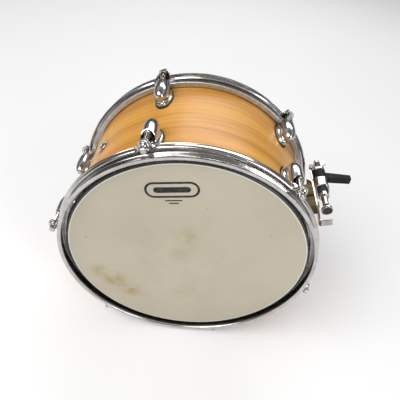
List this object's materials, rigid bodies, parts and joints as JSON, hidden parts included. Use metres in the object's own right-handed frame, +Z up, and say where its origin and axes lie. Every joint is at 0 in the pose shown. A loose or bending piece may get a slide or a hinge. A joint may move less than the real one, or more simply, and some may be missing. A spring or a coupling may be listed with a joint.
{
  "type": "tom tom drum",
  "caption": "Rack tom: a short lacquered wooden shell with two coated heads, chrome hoops, key rods in egg-shaped lugs, and a side bracket with an arm socket, a wing nut and a lever.",
  "frame": {"origin": "under the middle of the whole drum's box, on the surface that it lies on", "axes": "+Y along the drum's axis from the batter head to the resonant head, +Z up with the drum lying on its side, +X towards the bracket"},
  "size_m": [0.382, 0.1782, 0.3276],
  "materials": {
    "block_rubber": "firm moulded rubber",
    "bracket_chrome": "bright plated casting",
    "coated_film": "rough sprayed coating on polyester film",
    "fastener_steel": "plated steel",
    "hoop_aluminium": "plain rolled channel",
    "lacquered_wood": "clear lacquer over pale striped veneer",
    "lever_plastic": "black moulded handle",
    "lug_chrome": "bright plated casting",
    "nut_steel": "turned steel",
    "plate_steel": "plated steel plate",
    "rim_chrome": "bright plated steel",
    "rod_chrome": "bright plated steel",
    "seal_rubber": "thin moulded seat"
  },
  "bodies": {
    "drum": {"batter_film": "coated_film", "batter_flesh_hoop": "hoop_aluminium", "batter_lug_1": "lug_chrome", "batter_lug_2": "lug_chrome", "batter_lug_3": "lug_chrome", "batter_lug_4": "lug_chrome", "batter_lug_5": "lug_chrome", "batter_lug_6": "lug_chrome", "batter_rim": "rim_chrome", "batter_rod_washers": "fastener_steel", "bracket_bolts": "fastener_steel", "bracket_nuts": "fastener_steel", "bracket_plate": "plate_steel", "clamp_body": "bracket_chrome", "clamp_bolt": "bracket_chrome", "clamp_bushing": "block_rubber", "clamp_collar": "fastener_steel", "clamp_washer": "fastener_steel", "isolator_front": "block_rubber", "isolator_rear": "block_rubber", "lug_gaskets": "seal_rubber", "lug_screw_washers": "fastener_steel", "lug_screws": "fastener_steel", "resonant_film": "coated_film", "resonant_flesh_hoop": "hoop_aluminium", "resonant_lug_1": "lug_chrome", "resonant_lug_2": "lug_chrome", "resonant_lug_3": "lug_chrome", "resonant_lug_4": "lug_chrome", "resonant_lug_5": "lug_chrome", "resonant_lug_6": "lug_chrome", "resonant_rim": "rim_chrome", "resonant_rod_washers": "fastener_steel", "shell": "lacquered_wood", "swivel_nuts": "nut_steel", "vent_eyelet": "bracket_chrome"},
    "batter_rod_1": {"batter_rod_1": "rod_chrome"},
    "resonant_rod_1": {"resonant_rod_1": "rod_chrome"},
    "batter_rod_2": {"batter_rod_2": "rod_chrome"},
    "resonant_rod_2": {"resonant_rod_2": "rod_chrome"},
    "batter_rod_3": {"batter_rod_3": "rod_chrome"},
    "resonant_rod_3": {"resonant_rod_3": "rod_chrome"},
    "batter_rod_4": {"batter_rod_4": "rod_chrome"},
    "resonant_rod_4": {"resonant_rod_4": "rod_chrome"},
    "batter_rod_5": {"batter_rod_5": "rod_chrome"},
    "resonant_rod_5": {"resonant_rod_5": "rod_chrome"},
    "batter_rod_6": {"batter_rod_6": "rod_chrome"},
    "resonant_rod_6": {"resonant_rod_6": "rod_chrome"},
    "wing_nut": {"wing_nut": "bracket_chrome"},
    "lever": {"lever": "lever_plastic"}
  },
  "joints": [
    {"name": "batter_rod_1_turn", "type": "hinge", "parent": "drum", "child": "batter_rod_1", "pos_m": [-0.07618, -0.08665, 0.32061], "axis": [0, 1, 0], "range_deg": [-720, 1080]},
    {"name": "resonant_rod_1_turn", "type": "hinge", "parent": "drum", "child": "resonant_rod_1", "pos_m": [-0.07618, 0.08665, 0.32061], "axis": [0, 1, 0], "range_deg": [-720, 1080]},
    {"name": "batter_rod_2_turn", "type": "hinge", "parent": "drum", "child": "batter_rod_2", "pos_m": [0.08761, -0.08665, 0.29071], "axis": [0, 1, 0], "range_deg": [-720, 1080]},
    {"name": "resonant_rod_2_turn", "type": "hinge", "parent": "drum", "child": "resonant_rod_2", "pos_m": [0.08761, 0.08665, 0.29071], "axis": [0, 1, 0], "range_deg": [-720, 1080]},
    {"name": "batter_rod_3_turn", "type": "hinge", "parent": "drum", "child": "batter_rod_3", "pos_m": [0.14361, -0.08665, 0.13391], "axis": [0, 1, 0], "range_deg": [-720, 1080]},
    {"name": "resonant_rod_3_turn", "type": "hinge", "parent": "drum", "child": "resonant_rod_3", "pos_m": [0.14361, 0.08665, 0.13391], "axis": [0, 1, 0], "range_deg": [-720, 1080]},
    {"name": "batter_rod_4_turn", "type": "hinge", "parent": "drum", "child": "batter_rod_4", "pos_m": [0.03582, -0.08665, 0.00701], "axis": [0, 1, 0], "range_deg": [-720, 1080]},
    {"name": "resonant_rod_4_turn", "type": "hinge", "parent": "drum", "child": "resonant_rod_4", "pos_m": [0.03582, 0.08665, 0.00701], "axis": [0, 1, 0], "range_deg": [-720, 1080]},
    {"name": "batter_rod_5_turn", "type": "hinge", "parent": "drum", "child": "batter_rod_5", "pos_m": [-0.12797, -0.08665, 0.03692], "axis": [0, 1, 0], "range_deg": [-720, 1080]},
    {"name": "resonant_rod_5_turn", "type": "hinge", "parent": "drum", "child": "resonant_rod_5", "pos_m": [-0.12797, 0.08665, 0.03692], "axis": [0, 1, 0], "range_deg": [-720, 1080]},
    {"name": "batter_rod_6_turn", "type": "hinge", "parent": "drum", "child": "batter_rod_6", "pos_m": [-0.18397, -0.08665, 0.19372], "axis": [0, 1, 0], "range_deg": [-720, 1080]},
    {"name": "resonant_rod_6_turn", "type": "hinge", "parent": "drum", "child": "resonant_rod_6", "pos_m": [-0.18397, 0.08665, 0.19372], "axis": [0, 1, 0], "range_deg": [-720, 1080]},
    {"name": "wing_nut_turn", "type": "hinge", "parent": "drum", "child": "wing_nut", "pos_m": [0.14886, 0.06295, 0.22419], "axis": [0, 1, 0], "continuous": true},
    {"name": "lever_swing", "type": "hinge", "parent": "drum", "child": "lever", "pos_m": [0.14886, 0.04595, 0.22419], "axis": [0, 1, 0], "range_deg": [-70, 20]}
  ]
}
